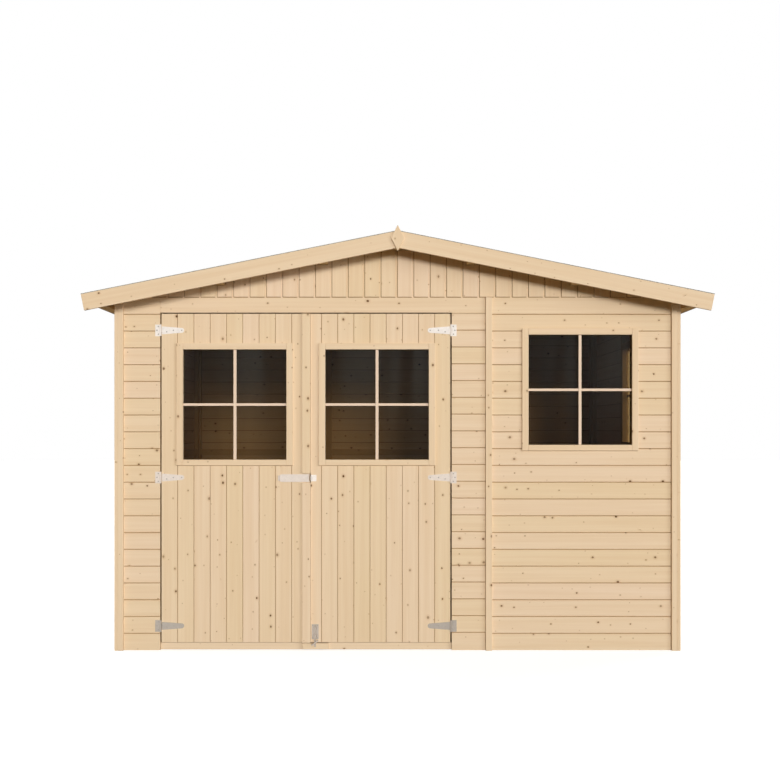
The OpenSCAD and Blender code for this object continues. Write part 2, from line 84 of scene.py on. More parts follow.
def colour_of(name, description, hex_colour):
    """A colour property with its default as sRGB hex."""
    return bpy.props.FloatVectorProperty(
        name=name, description=description, default=linear(hex_colour), size=4, min=0.0, max=1.0,
        subtype="COLOR",
    )


class ShedBoards(bpy.types.PropertyGroup):
    """Cover widths and joints of the boards."""

    course: length_of("Wall course", "Cover width of the level wall boards", 91)
    middle_shift: length_of("Middle shift", "How much higher the middle panel's joints lie", 5)
    left_board: length_of("Left leaf board", "Cover width on the left leaf", 88.3)
    left_edge: length_of("Left edge board", "First board at the left hinges", 86)
    right_board: length_of("Right leaf board", "Cover width on the right leaf", 87.6)
    right_edge: length_of("Right edge board", "First board at the right hinges", 85)
    gable_board: length_of("Gable board", "Cover width of the gable boards", 88.8)
    cove: length_of("Cove", "Width of the sunk strip beside a gable joint", 11)
    cove_depth: length_of("Cove depth", "How deep that strip is sunk", 4)
    gable_gap: length_of("Gable gap", "Gap below the gable boards", 4)
    gap: length_of("Joint gap", "Gap between the faces of two boards", 3.2)
    chamfer: length_of("Wall chamfer", "Chamfer on each side of a wall joint", 2.2)
    leaf_chamfer: length_of("Leaf chamfer", "Chamfer beside a leaf joint", 1.6)
    tongue: length_of("Tongue", "Reach of the tongue into the next board", 8)
    round_edge: length_of("Rounded edge", "Rounding of planed trims and rails", 1.8)


class ShedWood(bpy.types.PropertyGroup):
    """Colours of the wood."""

    pale: colour_of("Pale wood", "Early wood of the pinker boards", "#ECD4B9")
    straw: colour_of("Straw wood", "Early wood of the yellower boards", "#E8D1AE")
    warm: colour_of("Warm wood", "Late wood of the planed boards", "#D5B184")
    knot: colour_of("Knot", "Heart of a knot", "#5C3B1E")
    bar_pale: colour_of("Bar wood", "Sapwood of the window bars", "#EAD3BD")
    sawn_pale: colour_of("Sawn pale wood", "Pinker framing", "#DEC09A")
    sawn_straw: colour_of("Sawn straw wood", "Yellower framing", "#D6BC88")
    sawn_warm: colour_of("Sawn warm wood", "Late wood of the framing", "#B98F5C")


class ShedFinishes(bpy.types.PropertyGroup):
    """Colours of the felt, the steel and the glass."""

    felt: colour_of("Felt", "Middle tone of the felt's mineral chips", "#BBBBB4")
    felt_dark: colour_of("Dark felt", "Bitumen between the chips", "#8A8A84")
    bright_zinc: colour_of("Bright zinc", "High hinges and staple plate", "#F3EBE3")
    # The soft zinc is a darker copy of the bright zinc: painted shade on the middle hinges and
    # hasp.
    soft_zinc: colour_of("Soft zinc", "Middle hinges and hasp", "#E0D4C9")
    worn_zinc: colour_of("Worn zinc", "The bolt", "#C9BFB5")
    dull_zinc: colour_of("Dull zinc", "Low hinges and screws", "#B5ADA4")
    glass: colour_of("Glass", "Tint of the panes", "#D1C9AF")
    bar_width: length_of("Upright bar", "Width of the upright window bars", 16)
    level_bar: length_of("Level bar", "Height of the level window bars", 14)


class ShedStage(bpy.types.PropertyGroup):
    """Camera, lamps and floor."""

    camera_y: bpy.props.FloatProperty(
        name="Camera distance", description="Y of the camera", default=-6.194, unit="LENGTH"
    )
    key: bpy.props.FloatProperty(
        name="Key light", description="Strength of the front lamp", default=2.02
    )
    front: bpy.props.FloatProperty(
        name="Side light", description="Strength of the low wide lamp", default=1.24
    )
    fill: bpy.props.FloatProperty(
        name="Fill light", description="Strength of each back lamp", default=2.0
    )
    ambient: bpy.props.FloatProperty(
        name="Room light", description="Strength of the light all round", default=0.2
    )


GROUPS = {
    "shed_boards": ShedBoards, "shed_wood": ShedWood, "shed_finishes": ShedFinishes,
    "shed_stage": ShedStage,
}


# ---- Materials ----


def add_node(tree, kind, inputs=None, **settings):
    """A shader node with its settings and inputs, each a value, or a socket or node to link."""
    made = tree.nodes.new("ShaderNode" + kind)
    for key, value in settings.items():
        setattr(made, key, value)
    for key, value in (inputs or {}).items():
        if isinstance(value, bpy.types.Node):
            value = value.outputs[0]
        if isinstance(value, bpy.types.NodeSocket):
            tree.links.new(value, made.inputs[key])
        else:
            made.inputs[key].default_value = value
    return made


def emptied(owner):
    """Clears the nodes of a material or world and returns add_node for its tree."""
    owner.use_nodes = True
    owner.node_tree.nodes.clear()
    return functools.partial(add_node, owner.node_tree)


def new_material(name):
    """An empty material, and the function that adds its nodes."""
    material = bpy.data.materials.new(name)
    return material, emptied(material)


def spruce(name, pale, straw_tone, warm, knots=0.68, roughness=0.55, fibre=0.25, shine=0.12):
    """Spruce: dull and pale, with rings along the grain that bend round small brown knots.
    The attribute "grain" runs in metres along and across each board, and "board" is its tone."""
    found = bpy.data.materials.get(name)
    if found:
        return found
    material, add = new_material(name)
    grain = add("Attribute", attribute_name="grain")
    board = add("Attribute", attribute_name="board")
    # Knots: one cell in each 87 by 69 mm, of which a share holds a knot of 2 to 6 mm.
    cells = add("Mapping", {"Vector": grain.outputs["Vector"], "Scale": (11.5, 14.5, 0.0)})
    cell = add(
        "TexVoronoi", {"Vector": cells, "Scale": 1.0, "Randomness": 1.0}, voronoi_dimensions="2D"
    )
    lot = add("SeparateColor", {"Color": cell.outputs["Color"]})
    mostly_small = add("Math", {0: lot.outputs[1], 1: 3.0}, operation="POWER")
    radius = add("MapRange", {"Value": mostly_small, "To Min": 0.023, "To Max": 0.074})
    uneven = add("TexNoise", {"Vector": grain.outputs["Vector"], "Scale": 190.0, "Detail": 2.0})
    ragged = add(
        "Math", {0: uneven, 1: 0.04, 2: cell.outputs["Distance"]}, operation="MULTIPLY_ADD"
    )
    away = add("Math", {0: ragged, 1: radius}, operation="DIVIDE")
    # Stretches of board with many knots and stretches with few.
    cloud = add("TexNoise", {"Vector": grain.outputs["Vector"], "Scale": 2.6, "Detail": 2.0})
    share = add(
        "MapRange",
        {
            "Value": cloud, "From Min": 0.35, "From Max": 0.62, "To Min": 0.25 * knots,
            "To Max": 1.35 * knots,
        },
    )
    here = add("Math", {0: lot, 1: share}, operation="LESS_THAN")
    faded = add("MapRange", {"Value": lot.outputs[2], "To Min": 0.5, "To Max": 1.0})
    dark = add("Math", {0: here, 1: faded}, operation="MULTIPLY")
    heart = add(
        "MapRange",
        {"Value": away, "From Min": 1.7, "From Max": 1.1, "To Min": 0.0, "To Max": dark},
        interpolation_type="SMOOTHSTEP",
    )
    halo = add(
        "MapRange",
        {"Value": away, "From Min": 4.0, "From Max": 1.2, "To Min": 0.0, "To Max": here},
        interpolation_type="SMOOTHSTEP",
    )
    # Rings 10 to 20 mm apart on the face, stretched along the board, bending round the knots.
    swerve = add("CombineXYZ", {"Y": halo})
    bent = add(
        "VectorMath", {0: swerve, 1: (0.0, 0.012, 0.0), 2: grain.outputs["Vector"]},
        operation="MULTIPLY_ADD",
    )
    rings_at = add("Mapping", {"Vector": bent, "Scale": (0.9, 46.0, 46.0)})
    rings = add("TexNoise", {"Vector": rings_at, "Scale": 1.0, "Detail": 3.0, "Roughness": 0.6})
    fibres_at = add("Mapping", {"Vector": bent, "Scale": (7.0, 330.0, 330.0)})
    fibres = add("TexNoise", {"Vector": fibres_at, "Scale": 1.0, "Detail": 2.0})
    ringed = add(
        "MapRange",
        {"Value": rings, "From Min": 0.36, "From Max": 0.74, "To Min": 0.0, "To Max": 0.3},
    )
    tone = add("Math", {0: cloud, 1: 0.55, 2: board.outputs["Fac"]}, operation="MULTIPLY_ADD")
    straw = add("MapRange", {"Value": tone, "From Min": 0.15, "From Max": 1.4})
    early = add("Mix", {0: straw, COLOUR_A: pale, COLOUR_B: straw_tone}, data_type="RGBA")
    wood = add(
        "Mix", {0: ringed, COLOUR_A: early.outputs[COLOUR_OUT], COLOUR_B: warm}, data_type="RGBA"
    )
    fine = add("MapRange", {"Value": fibres, "To Min": 0.965, "To Max": 1.02})
    streaked = add("VectorMath", {0: wood.outputs[COLOUR_OUT], "Scale": fine}, operation="SCALE")
    around_knot = add("Math", {0: halo, 1: 0.3}, operation="MULTIPLY")
    haloed = add(
        "Mix", {0: around_knot, COLOUR_A: streaked, COLOUR_B: linear("#BC8F5B")}, data_type="RGBA"
    )
    knotted = add(
        "Mix",
        {
            0: heart, COLOUR_A: haloed.outputs[COLOUR_OUT],
            COLOUR_B: bpy.context.scene.shed_wood.knot,
        },
        data_type="RGBA",
    )
    # Painted shade: the tongues and grooves are multiplied darker and browner, as shade in the
    # joints.
    recess = add("Attribute", attribute_name="recess")
    shaded = add(
        "Mix",
        {
            0: recess.outputs["Fac"], COLOUR_A: knotted.outputs[COLOUR_OUT],
            COLOUR_B: linear("#BBA68A"),
        },
        data_type="RGBA", blend_type="MULTIPLY",
    )
    dull = add(
        "MapRange", {"Value": rings, "To Min": roughness + 0.12, "To Max": roughness - 0.08}
    )
    relief = add("Math", {0: fibres, 1: 0.5, 2: rings}, operation="MULTIPLY_ADD")
    bump = add("Bump", {"Height": relief, "Strength": fibre, "Distance": 0.0008})
    shader = add(
        "BsdfPrincipled",
        {
            "Base Color": shaded.outputs[COLOUR_OUT], "Roughness": dull,
            "Specular IOR Level": shine, "Normal": bump,
        },
    )
    add("OutputMaterial", {"Surface": shader})
    return material


def planed_spruce():
    """Planed spruce, matt and pale: the outer boards, trims, casings and fascias."""
    wood = bpy.context.scene.shed_wood
    return spruce("planed_spruce", wood.pale, wood.straw, wood.warm)


def sapwood_bars():
    """Planed sapwood of the window bars: the same wood, paler and with no knots."""
    wood = bpy.context.scene.shed_wood
    return spruce("planed_sapwood", wood.bar_pale, wood.bar_pale, wood.pale, knots=0.0)


def sawn_spruce():
    """Sawn spruce, duller and a little darker: the framing, purlins, floor and roof boards."""
    wood = bpy.context.scene.shed_wood
    colours = wood.sawn_pale, wood.sawn_straw, wood.sawn_warm
    return spruce("sawn_spruce", *colours, knots=0.3, roughness=0.75, fibre=0.6, shine=0.05)


def mineral_felt():
    """Bitumen roofing felt with pressed mineral chips: dull, speckled, with no shine."""
    found = bpy.data.materials.get("mineral_felt")
    if found:
        return found
    finishes = bpy.context.scene.shed_finishes
    material, add = new_material("mineral_felt")
    place = add("TexCoord").outputs["Object"]
    # Real chips are about 1.5 mm; they are drawn 4 mm wide so that they show.
    chips = add("TexVoronoi", {"Vector": place, "Scale": 250.0})
    worn = add("TexNoise", {"Vector": place, "Scale": 3.0, "Detail": 4.0})
    chip = add("SeparateColor", {"Color": chips.outputs["Color"]})
    speck = add(
        "Mix", {0: chip, COLOUR_A: finishes.felt_dark, COLOUR_B: finishes.felt}, data_type="RGBA"
    )
    strip = add("Attribute", attribute_name="board")
    worn_strip = add("Math", {0: strip.outputs["Fac"], 1: 0.4, 2: worn}, operation="MULTIPLY_ADD")
    shade = add("MapRange", {"Value": worn_strip, "To Min": 0.75, "To Max": 1.25})
    colour = add("VectorMath", {0: speck.outputs[COLOUR_OUT], "Scale": shade}, operation="SCALE")
    bump = add("Bump", {"Height": chips.outputs["Distance"], "Strength": 0.5, "Distance": 0.001})
    shader = add(
        "BsdfPrincipled",
        {"Base Color": colour, "Roughness": 0.93, "Specular IOR Level": 0.2, "Normal": bump},
    )
    add("OutputMaterial", {"Surface": shader})
    return material


def zinc_steel(state, roughness):
    """Pressed steel with a zinc coat, bright, soft (a painted shade), worn or dull: metal, softly
    blurred, with faint crystals 9 mm across."""
    name = state + "_zinc_steel"
    found = bpy.data.materials.get(name)
    if found:
        return found
    colour = getattr(bpy.context.scene.shed_finishes, state + "_zinc")[:3]
    material, add = new_material(name)
    place = add("TexCoord").outputs["Object"]
    crystals = add("TexVoronoi", {"Vector": place, "Scale": 110.0})
    facet = add("SeparateColor", {"Color": crystals.outputs["Color"]})
    scuffs = add("TexNoise", {"Vector": place, "Scale": 60.0, "Detail": 4.0})
    bright = add("MapRange", {"Value": facet, "To Min": 0.93, "To Max": 1.0})
    shown = add("VectorMath", {0: colour, "Scale": bright}, operation="SCALE")
    blur = add(
        "MapRange", {"Value": scuffs, "To Min": roughness - 0.08, "To Max": roughness + 0.1}
    )
    shader = add("BsdfPrincipled", {"Base Color": shown, "Metallic": 1.0, "Roughness": blur})
    add("OutputMaterial", {"Surface": shader})
    return material


def bright_zinc():
    return zinc_steel("bright", 0.42)


def soft_zinc():
    return zinc_steel("soft", 0.45)


def worn_zinc():
    return zinc_steel("worn", 0.5)


def dull_zinc():
    return zinc_steel("dull", 0.5)


def float_glass():
    """Clear float glass, 4 mm: smooth and see-through, with a painted reflection in pale upright
    bands, and lamps shine through it. Its IOR is under glass's 1.5, so that the pale room isn't
    mirrored over the dark inside."""
    found = bpy.data.materials.get("float_glass")
    if found:
        return found
    finishes = bpy.context.scene.shed_finishes
    material, add = new_material("float_glass")
    place = add("TexCoord").outputs["Object"]
    streaks_at = add("Mapping", {"Vector": place, "Scale": (14.0, 14.0, 1.2)})
    streaks = add("TexNoise", {"Vector": streaks_at, "Scale": 1.0, "Detail": 3.0})
    dusty = add("MapRange", {"Value": streaks, "To Min": 0.9, "To Max": 1.1})
    tint = add("VectorMath", {0: finishes.glass[:3], "Scale": dusty}, operation="SCALE")
    glass = add(
        "BsdfPrincipled",
        {"Base Color": tint, "Roughness": 0.0, "IOR": 1.16, "Transmission Weight": 1.0},
    )
    clear = add("BsdfTransparent", {"Color": (0.49, 0.43, 0.35, 1.0)})
    rays = add("LightPath")
    lamp_ray = add(
        "Math", {0: rays.outputs["Is Shadow Ray"], 1: rays.outputs["Is Diffuse Ray"]},
        operation="MAXIMUM",
    )
    # A painted reflection: a pale diffuse film in upright bands some 100 mm wide, stronger towards
    # the top.
    bands_at = add("Mapping", {"Vector": place, "Scale": (7.0, 7.0, 0.5)})
    bands = add("TexNoise", {"Vector": bands_at, "Scale": 1.0, "Detail": 1.5})
    band = add(
        "MapRange",
        {"Value": bands, "From Min": 0.45, "From Max": 0.62, "To Min": 0.005, "To Max": 0.029},
        interpolation_type="SMOOTHSTEP",
    )
    height = add("SeparateXYZ", {"Vector": place})
    upper = add(
        "MapRange",
        {
            "Value": height.outputs[2], "From Min": 1.15, "From Max": 1.5, "To Min": 0.15,
            "To Max": 1.0,
        },
    )
    film = add("Math", {0: band, 1: upper}, operation="MULTIPLY")
    dust = add("BsdfDiffuse", {"Color": linear("#A7B4BA")})
    filmed = add("MixShader", {0: film, 1: glass, 2: dust})
    pane = add("MixShader", {0: lamp_ray, 1: filmed, 2: clear})
    add("OutputMaterial", {"Surface": pane})
    return material


# ---- Pieces ----


def new_mesh():
    """An empty bmesh with the three wood attributes."""
    bm = bmesh.new()
    bm.loops.layers.float_vector.new("grain")
    bm.loops.layers.float.new("board")
    bm.loops.layers.float.new("recess")
    return bm


def finish_piece(name, bm, material, body, node=None):
    """Turns bm into a piece at the origin that rides on body and stands for a CAD node."""
    bmesh.ops.recalc_face_normals(bm, faces=bm.faces[:])
    mesh = bpy.data.meshes.new(name)
    bm.to_mesh(mesh)
    bm.free()
    mesh.materials.append(material)
    piece = bpy.data.objects.new(name, mesh)
    bpy.context.scene.collection.objects.link(piece)
    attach(piece, body)
    if node:
        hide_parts(node)
    return piece


def round_edges(bm, edges, offset):
    """Rounds edges by offset."""
    bmesh.ops.bevel(
        bm, geom=edges, offset=offset, offset_type="OFFSET", segments=2, profile=0.5,
        affect="EDGES", clamp_overlap=True, material=-1,
    )


def pour(bm, own, name):
    """Adds the finished mesh own to bm."""
    mesh = bpy.data.meshes.new(name)
    own.to_mesh(mesh)
    own.free()
    bm.from_mesh(mesh)
    bpy.data.meshes.remove(mesh)


def recoat(node, *materials):
    """Gives a CAD node other materials and returns its mesh."""
    mesh = frame["nodes"][node].data
    mesh.materials.clear()
    for material in materials:
        mesh.materials.append(material)
    return mesh


def write_grain(bm, faces, axes, start, board_tone):
    """Gives faces their place in a board, from start along its length, width and thickness."""
    grain = bm.loops.layers.float_vector["grain"]
    tone = bm.loops.layers.float["board"]
    for face in faces:
        for loop in face.loops:
            loop[grain] = [loop.vert.co.dot(axis) + s for axis, s in zip(axes, start)]
            loop[tone] = board_tone


def darken_joints(bm, thick):
    """Marks the tongue and groove, in the middle of the thickness, where the wood gets painted
    shade.
    """
    recess = bm.loops.layers.float["recess"]
    for face in bm.faces:
        for loop in face.loops:
            loop[recess] = float(0.34 < loop.vert.co.y / thick < 0.7)


def fall_of_log(draw):
    """Where a board was cut from the log: a far place in the wood pattern, and its tone."""
    place = Vector((draw.uniform(0, 90), draw.uniform(0, 90), draw.uniform(0, 9)))
    return place, draw.random()


def matched(width, thick, gap, chamfer, tongue, first=False, last=False):
    """Outline of a tongued and grooved board, as (depth, place across) pairs.
    The first board has no groove and the last one no tongue."""
    low, top = gap / 2, width - gap / 2
    inner, outer = thick * 0.36, thick * 0.62
    ease = 1.5 * MM
    tongued = [
        (0, top - chamfer), (chamfer, top), (inner, top), (inner, top + tongue),
        (outer, top + tongue), (outer, top), (thick - ease, top), (thick, top - ease),
    ]
    grooved = [
        (thick, low + ease), (thick - ease, low), (outer + SEAM, low),
        (outer + SEAM, low + tongue + SEAM), (inner - SEAM, low + tongue + SEAM),
        (inner - SEAM, low), (chamfer, low), (0, low + chamfer),
    ]
    return [
        *([(0, width), (thick, width)] if last else tongued),
        *([(thick, 0), (0, 0)] if first else grooved),
    ]


def cut(bm, point, normal):
    """Takes away what lies beyond a plane and closes the cut."""
    whole = bm.verts[:] + bm.edges[:] + bm.faces[:]
    made = bmesh.ops.bisect_plane(
        bm, geom=whole, dist=1e-6, plane_co=point, plane_no=normal, clear_outer=True
    )
    edges = [e for e in made["geom_cut"] if isinstance(e, bmesh.types.BMEdge)]
    if edges:
        bmesh.ops.holes_fill(bm, edges=edges, sides=0)


def board(bm, outline, place, start, end, log, sides=(), planes=()):
    """Runs outline from start to end along the local X of place and adds it to bm.
    sides are the lowest and highest place across that stay, and planes are (point, normal)
    cuts in the shed's frame."""
    own = new_mesh()
    face = own.faces.new([own.verts.new((start, d, a)) for d, a in outline])
    run = bmesh.ops.extrude_face_region(own, geom=[face])
    ends = [v for v in run["geom"] if isinstance(v, bmesh.types.BMVert)]
    bmesh.ops.translate(own, verts=ends, vec=(end - start, 0, 0))
    if sides:
        cut(own, (0, 0, sides[0]), (0, 0, -1))
        cut(own, (0, 0, sides[1]), (0, 0, 1))
    offset, tone = log
    axes = (Vector((1, 0, 0)), Vector((0, 0, 1)), Vector((0, 1, 0)))
    write_grain(own, own.faces, axes, offset, tone)
    # The tongue and groove get painted shade.
    darken_joints(own, max(d for d, a in outline))
    bmesh.ops.transform(own, matrix=place, verts=own.verts[:])
    for point, normal in planes:
        cut(own, point, normal)
    bmesh.ops.recalc_face_normals(own, faces=own.faces[:])
    pour(bm, own, "board")


def around(part, hole):
    """What is left of part (start, end, low, high) when hole, given the same way, is taken out."""
    start, end, low, high = part
    h_start, h_end, h_low, h_high = hole
    if start >= h_end or end <= h_start or low >= h_high or high <= h_low:
        return [part]
    left = []
    if start < h_start:
        left.append((start, h_start, low, high))
    if end > h_end:
        left.append((h_end, end, low, high))
    middle = max(start, h_start), min(end, h_end)
    if low < h_low:
        left.append((*middle, low, h_low))
    if high > h_high:
        left.append((*middle, h_high, high))
    return left


def board_up(bm, place, length, widths, outline_of, draw, holes=(), planes=(), first=0.0):
    """Lays boards of widths side by side from first, each length long, and leaves the holes open.
    outline_of(width, first, last) gives a board's outline from its own low edge."""
    low, tongue_room = first, 10 * MM
    for i, width in enumerate(widths):
        log = fall_of_log(draw)
        at = place @ Matrix.Translation((0, 0, low))
        parts = [(0, length, low, low + width)]
        for hole in holes:
            parts = [p for part in parts for p in around(part, hole)]
        outline = outline_of(width, i == 0, i == len(widths) - 1)
        for start, end, p_low, p_high in parts:
            # The tongue reaches past the board's own width.
            under = tongue_room if p_low == low else 0
            over = tongue_room if p_high == low + width else 0
            sides = () if under and over else (p_low - low - under, p_high - low + over)
            board(bm, outline, at, start, end, log, sides, planes)
        low += width


def side_on(corner, along, across, inward):
    """A matrix that puts local X along the board, Z across it and Y into the wall, from corner."""
    turn = Matrix((along, inward, across)).transposed().to_4x4()
    return Matrix.Translation(corner) @ turn


def courses(height, pitch, shift=0.0):
    """Widths of the level boards of a wall, the lowest one wider by shift."""
    widths = [pitch + shift]
    while sum(widths) + pitch < height - 1e-6:
        widths.append(pitch)
    return [*widths, height - sum(widths)]


def depth_of(node):
    """Thickness of a CAD node from front to back."""
    low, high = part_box(node)
    return high.y - low.y


def wall_outline(width, first, last):
    """Outline of a level wall board, plain where it's only a sliver."""
    sizes = bpy.context.scene.shed_boards
    thick = depth_of("front_left_panel")
    if width < 4 * sizes.chamfer:
        return [(0, 0), (0, width), (thick, width), (thick, 0)]
    return matched(width, thick, sizes.gap, sizes.chamfer, sizes.tongue, first, last)


def leaf_outline(width, first, last):
    """Outline of an upright door board."""
    sizes = bpy.context.scene.shed_boards
    thick, gap = depth_of("left_door_leaf"), sizes.gap * 0.75
    return matched(width, thick, gap, sizes.leaf_chamfer, sizes.tongue, first, last)


def islands(bm):
    """The separate solids of bm, as lists of faces."""
    left = set(bm.faces)
    found = []
    while left:
        group, edge = set(), [left.pop()]
        while edge:
            face = edge.pop()
            group.add(face)
            for e in face.edges:
                for other in e.link_faces:
                    if other in left:
                        left.discard(other)
                        edge.append(other)
        found.append(sorted(group, key=lambda f: f.index))
    return sorted(found, key=lambda g: g[0].index)


def drip_plane(node, out):
    """The plane that slopes a casing's lower edge back to the wall, so that rain drips off it."""
    low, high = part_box(node)
    rise, depth = 4.5 * MM, abs((high - low).dot(out))
    return Vector((high.x, low.y, low.z + rise)), (out * rise - UP * depth).normalized()


def rounded_copy(name, node, body, material, bevel=None, upright=False, planes=()):
    """A copy of a CAD node with rounded edges and (point, normal) cuts.
    The grain is upright, or else follows the longest edge of each solid."""
    bm = new_mesh()
    bm.from_mesh(frame["nodes"][node].data)
    bmesh.ops.remove_doubles(bm, verts=bm.verts[:], dist=1e-6)
    bmesh.ops.dissolve_limit(bm, angle_limit=0.01, verts=bm.verts[:], edges=bm.edges[:])
    for point, normal in planes:
        cut(bm, point, normal)
    bm.faces.index_update()
    bm.edges.index_update()
    draw = random.Random(name)
    middle_tone = 0.55
    grains = []
    for group in islands(bm):
        edges = sorted({e for f in group for e in f.edges}, key=lambda e: e.index)
        longest = max(edges, key=lambda e: round(e.calc_length(), 6))
        along = (longest.verts[1].co - longest.verts[0].co).normalized()
        if upright:
            along = UP
        widest = max(group, key=lambda f: round(f.calc_area(), 8))
        out = widest.normal - widest.normal.dot(along) * along
        out.normalize()
        grains.append((group, (along, out.cross(along), out), fall_of_log(draw)[0]))
    for group, axes, offset in grains:
        write_grain(bm, group, axes, offset, middle_tone)
    sharp = [e for e in bm.edges if len(e.link_faces) == 2 and e.calc_face_angle() > 0.3]
    round_edges(bm, sharp, bevel or bpy.context.scene.shed_boards.round_edge)
    return finish_piece(name, bm, material, body, node)


class ShedOperator:
    """What every step of the shed shares."""

    bl_options = {"REGISTER", "UNDO"}


class SHED_OT_front_wall(ShedOperator, bpy.types.Operator):
    """Boards the three panels of the front wall with level tongued boards"""

    bl_idname = "shed.front_wall"
    bl_label = "Board the Front Wall"

    def execute(self, context):
        sizes = context.scene.shed_boards
        for node, shift in (
            ("front_left_panel", 0.0), ("front_middle_panel", sizes.middle_shift),
            ("front_window_panel", 0.0),
        ):
            low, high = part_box(node)
            holes = []
            if node == "front_window_panel":
                holes = [window_hole("front_window_casing", low, TO_RIGHT)]
            bm = new_mesh()
            board_up(
                bm, side_on(low, TO_RIGHT, UP, BEHIND), high.x - low.x,
                courses(high.z - low.z, sizes.course, shift), wall_outline, random.Random(node),
                holes,
            )
            finish_piece(node + "_boards", bm, planed_spruce(), "shed", node)
        rounded_copy("front_header_board", "front_header", "shed", planed_spruce())
        return {"FINISHED"}


def window_hole(casing, corner, along):
    """The opening inside a casing, as (start, end, low, high) from corner of the wall."""
    low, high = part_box(casing)
    rim = casing_width()
    reach = [(low - corner).dot(along), (high - corner).dot(along)]
    return (min(reach) + rim, max(reach) - rim, low.z - corner.z + rim, high.z - corner.z - rim)


def casing_width():
    """Width of the strips round a window: half of what the casing is taller than its pane."""
    casing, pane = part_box("left_door_casing"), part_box("left_door_pane")
    return ((casing[1].z - casing[0].z) - (pane[1].z - pane[0].z)) / 2 - SEAM


def roof_slope():
    """Fall of the roof for each metre from the ridge, from the top of the felt."""
    tops = [v.co for v in frame["nodes"]["roof_felt"].data.vertices]
    eave = max(tops, key=lambda at: (round(at.x, 5), at.z))
    return (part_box("roof_felt")[1].z - eave.z) / eave.x


def roof_axes(side, pitch):
    """The directions down one side of the roof and out of it."""
    level, rise = math.cos(pitch), math.sin(pitch)
    return Vector((side * level, 0, -rise)), Vector((side * rise, 0, level))


def under_roof_planes():
    """The two sloping planes through the side walls' tops, to which boards are cut."""
    slope = roof_slope()
    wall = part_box("right_wall")
    top = Vector((0, 0, wall[1].z + wall[0].x * slope))
    return [(top, Vector((side * slope, 0, 1)).normalized()) for side in (-1, 1)]


class SHED_OT_other_walls(ShedOperator, bpy.types.Operator):
    """Boards the back wall in three panels and both side walls"""

    bl_idname = "shed.other_walls"
    bl_label = "Board the Other Walls"

    def execute(self, context):
        sizes = context.scene.shed_boards
        low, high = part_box("back_wall")
        bm = new_mesh()
        draw = random.Random("back_wall")
        edges = [low.x, *BACK_JOINTS, high.x]
        for start, end in zip(edges, edges[1:]):
            board_up(
                bm, side_on(Vector((start, high.y, low.z)), TO_RIGHT, UP, IN_FRONT), end - start,
                courses(high.z - low.z, sizes.course), wall_outline, draw,
            )
        finish_piece("back_wall_boards", bm, planed_spruce(), "shed", "back_wall")
        for node, outer, inward in (("left_wall", 0, TO_RIGHT), ("right_wall", 1, TO_LEFT)):
            low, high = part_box(node)
            corner = Vector(((low, high)[outer].x, low.y, low.z))
            holes = []
            if node == "right_wall":
                holes = [window_hole("side_window_casing", corner, BEHIND)]
            bm = new_mesh()
            board_up(
                bm, side_on(corner, BEHIND, UP, inward), high.y - low.y,
                courses(high.z - low.z, sizes.course), wall_outline, random.Random(node), holes,
                under_roof_planes(),
            )
            finish_piece(node + "_boards", bm, planed_spruce(), "shed", node)
        return {"FINISHED"}


class SHED_OT_gables(ShedOperator, bpy.types.Operator):
    """Boards both gables with upright coved boards, notched round the purlins"""

    bl_idname = "shed.gables"
    bl_label = "Board the Gables"

    def execute(self, context):
        sizes = context.scene.shed_boards
        width, cove, deep = sizes.gable_board, sizes.cove, sizes.cove_depth
        half, rebate = sizes.gap / 2, 9 * MM
        for node in ("front_gable", "back_gable"):
            low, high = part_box(node)
            thick = high.y - low.y
            front = node == "front_gable"
            face = low.y if front else high.y
            inward = BEHIND if front else IN_FRONT
            inner, outer = thick * 0.56, thick * 0.78
            joint = [
                (inner, width - half), (inner, width - half + sizes.tongue),
                (outer, width - half + sizes.tongue), (outer, width - half), (thick, width - half),
                (thick, half), (outer + SEAM, half), (outer + SEAM, half + sizes.tongue + SEAM),
                (inner - SEAM, half + sizes.tongue + SEAM), (inner - SEAM, half),
            ]
            outline = [
                (0, half), (0, width - cove), (deep + 1 * MM, width - cove + 1.2 * MM),
                (deep, width - cove + 3.2 * MM), (deep, width - half), *joint,
            ]
            # The foot is rebated, so the gap below the boards isn't open to the inside.
            foot = [
                (rebate, half), (rebate, width - cove), (deep, width - cove), (deep, width - half),
                *joint,
            ]
            count = math.ceil(high.x / width - 1e-6)
            place = side_on(Vector((0, face, low.z)), UP, TO_RIGHT, inward)
            tall = high.z - low.z
            holes = purlin_holes(low.z, tall)
            ends = [(Vector((low.x, 0, 0)), TO_LEFT), (Vector((high.x, 0, 0)), TO_RIGHT)]
            bm = new_mesh()
            for shape, gap in ((outline, sizes.gable_gap), (foot, 0.0)):

                def outline_of(width, first, last, shape=shape):
                    return shape

                board_up(
                    bm, place @ Matrix.Translation((gap, 0, 0)),
                    tall - gap if gap else sizes.gable_gap, [width] * (2 * count), outline_of,
                    random.Random(node), [(start - gap, *rest) for start, *rest in holes],
                    [*under_roof_planes(), *ends], -count * width,
                )
            finish_piece(node + "_boards", bm, planed_spruce(), "shed", node)
        return {"FINISHED"}


def purlin_holes(wall_top, tall):
    """The notches round the purlins, as (start, end, low, high) above the wall."""
    bm = bmesh.new()
    bm.from_mesh(frame["nodes"]["purlins"].data)
    bmesh.ops.remove_doubles(bm, verts=bm.verts[:], dist=1e-6)
    clear = 0.6 * MM
    holes = []
    for group in islands(bm):
        points = [v.co for f in group for v in f.verts]
        xs, zs = [p.x for p in points], [p.z for p in points]
        holes.append((min(zs) - wall_top - clear, 2 * tall, min(xs) - clear, max(xs) + clear))
    bm.free()
    return holes


